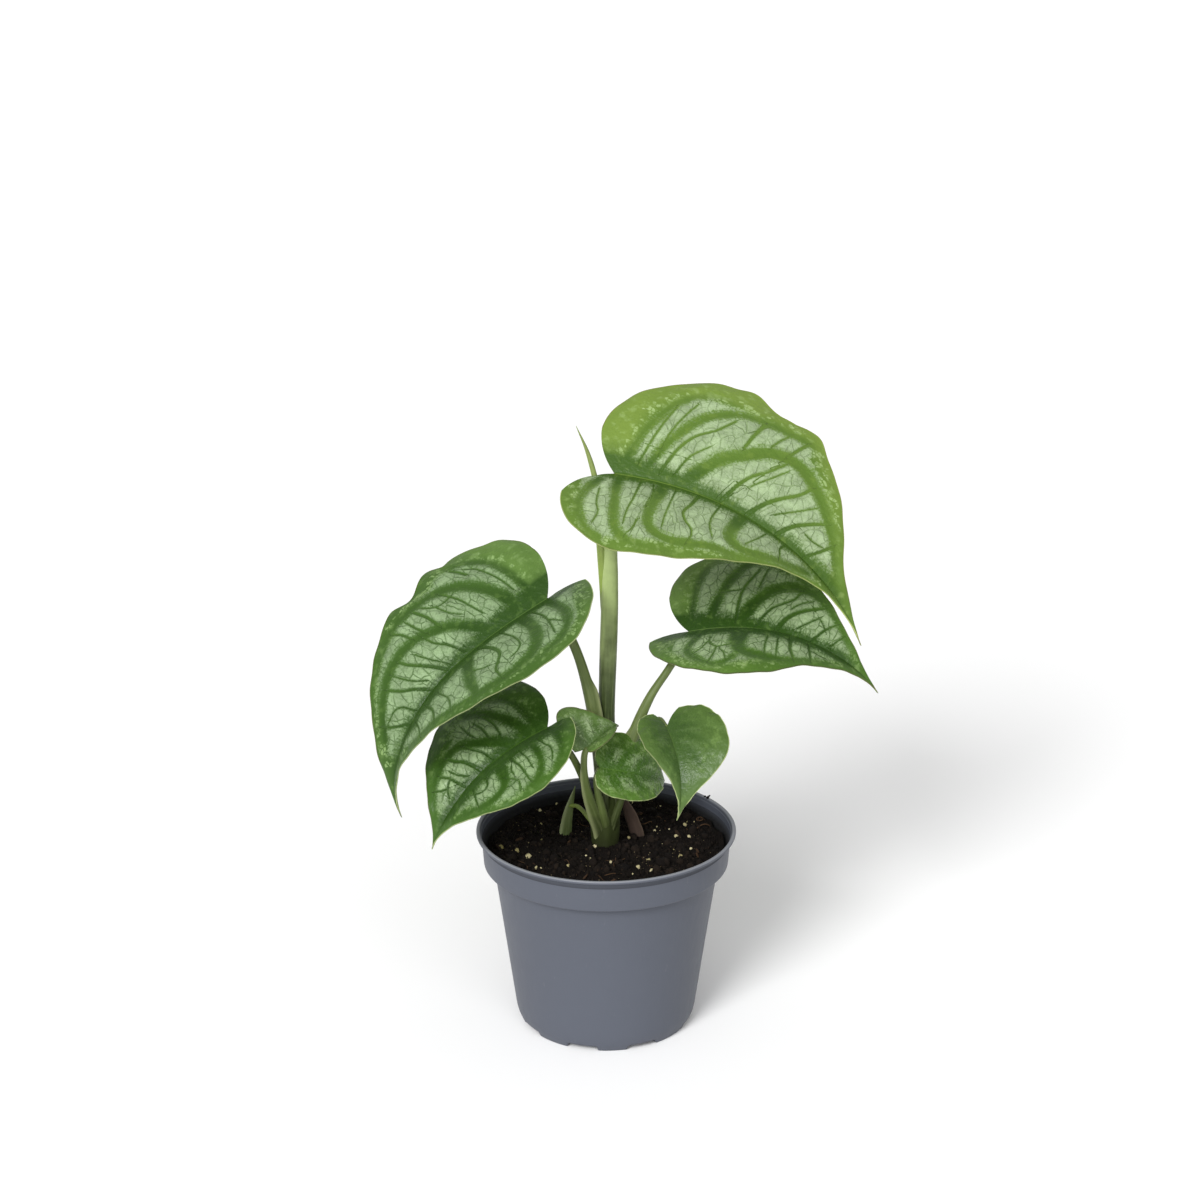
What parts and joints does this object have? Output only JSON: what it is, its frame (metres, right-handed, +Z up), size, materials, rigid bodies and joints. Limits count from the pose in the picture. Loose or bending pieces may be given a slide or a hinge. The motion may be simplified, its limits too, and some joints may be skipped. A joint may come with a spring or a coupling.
{
  "type": "potted monstera siltepecana plant",
  "caption": "Young climbing aroid with silver-marked heart-shaped leaves on arching stalks, in a round plastic nursery pot of dark soil.",
  "frame": {"origin": "centre of the pot's underside, on the surface that the pot stands on", "axes": "+Z up along the pot's axis, the picture's view is from -Y with +X to the right"},
  "size_m": [0.2304, 0.1244, 0.2944],
  "materials": {
    "pot_plastic": "satin",
    "soil": "matte",
    "stem": "matte",
    "petiole": "satin",
    "leaf_young": "satin",
    "leaf": "satin",
    "shoot": "satin",
    "dry_sheath": "matte"
  },
  "bodies": {
    "root": {"pot": "pot_plastic", "soil": "soil", "stem_base": "stem", "petiole_top": "petiole", "petiole_left": "petiole", "petiole_right": "petiole", "petiole_heart": "petiole", "petiole_centre": "petiole", "petiole_curled": "petiole", "petiole_low_left": "petiole", "leaf_top": "leaf_young", "leaf_right": "leaf", "leaf_left": "leaf", "leaf_low_left": "leaf", "leaf_curled": "leaf", "leaf_centre": "leaf", "leaf_heart": "leaf", "new_leaf_spear": "shoot", "side_shoot": "shoot", "dry_sheath": "dry_sheath"}
  },
  "joints": []
}
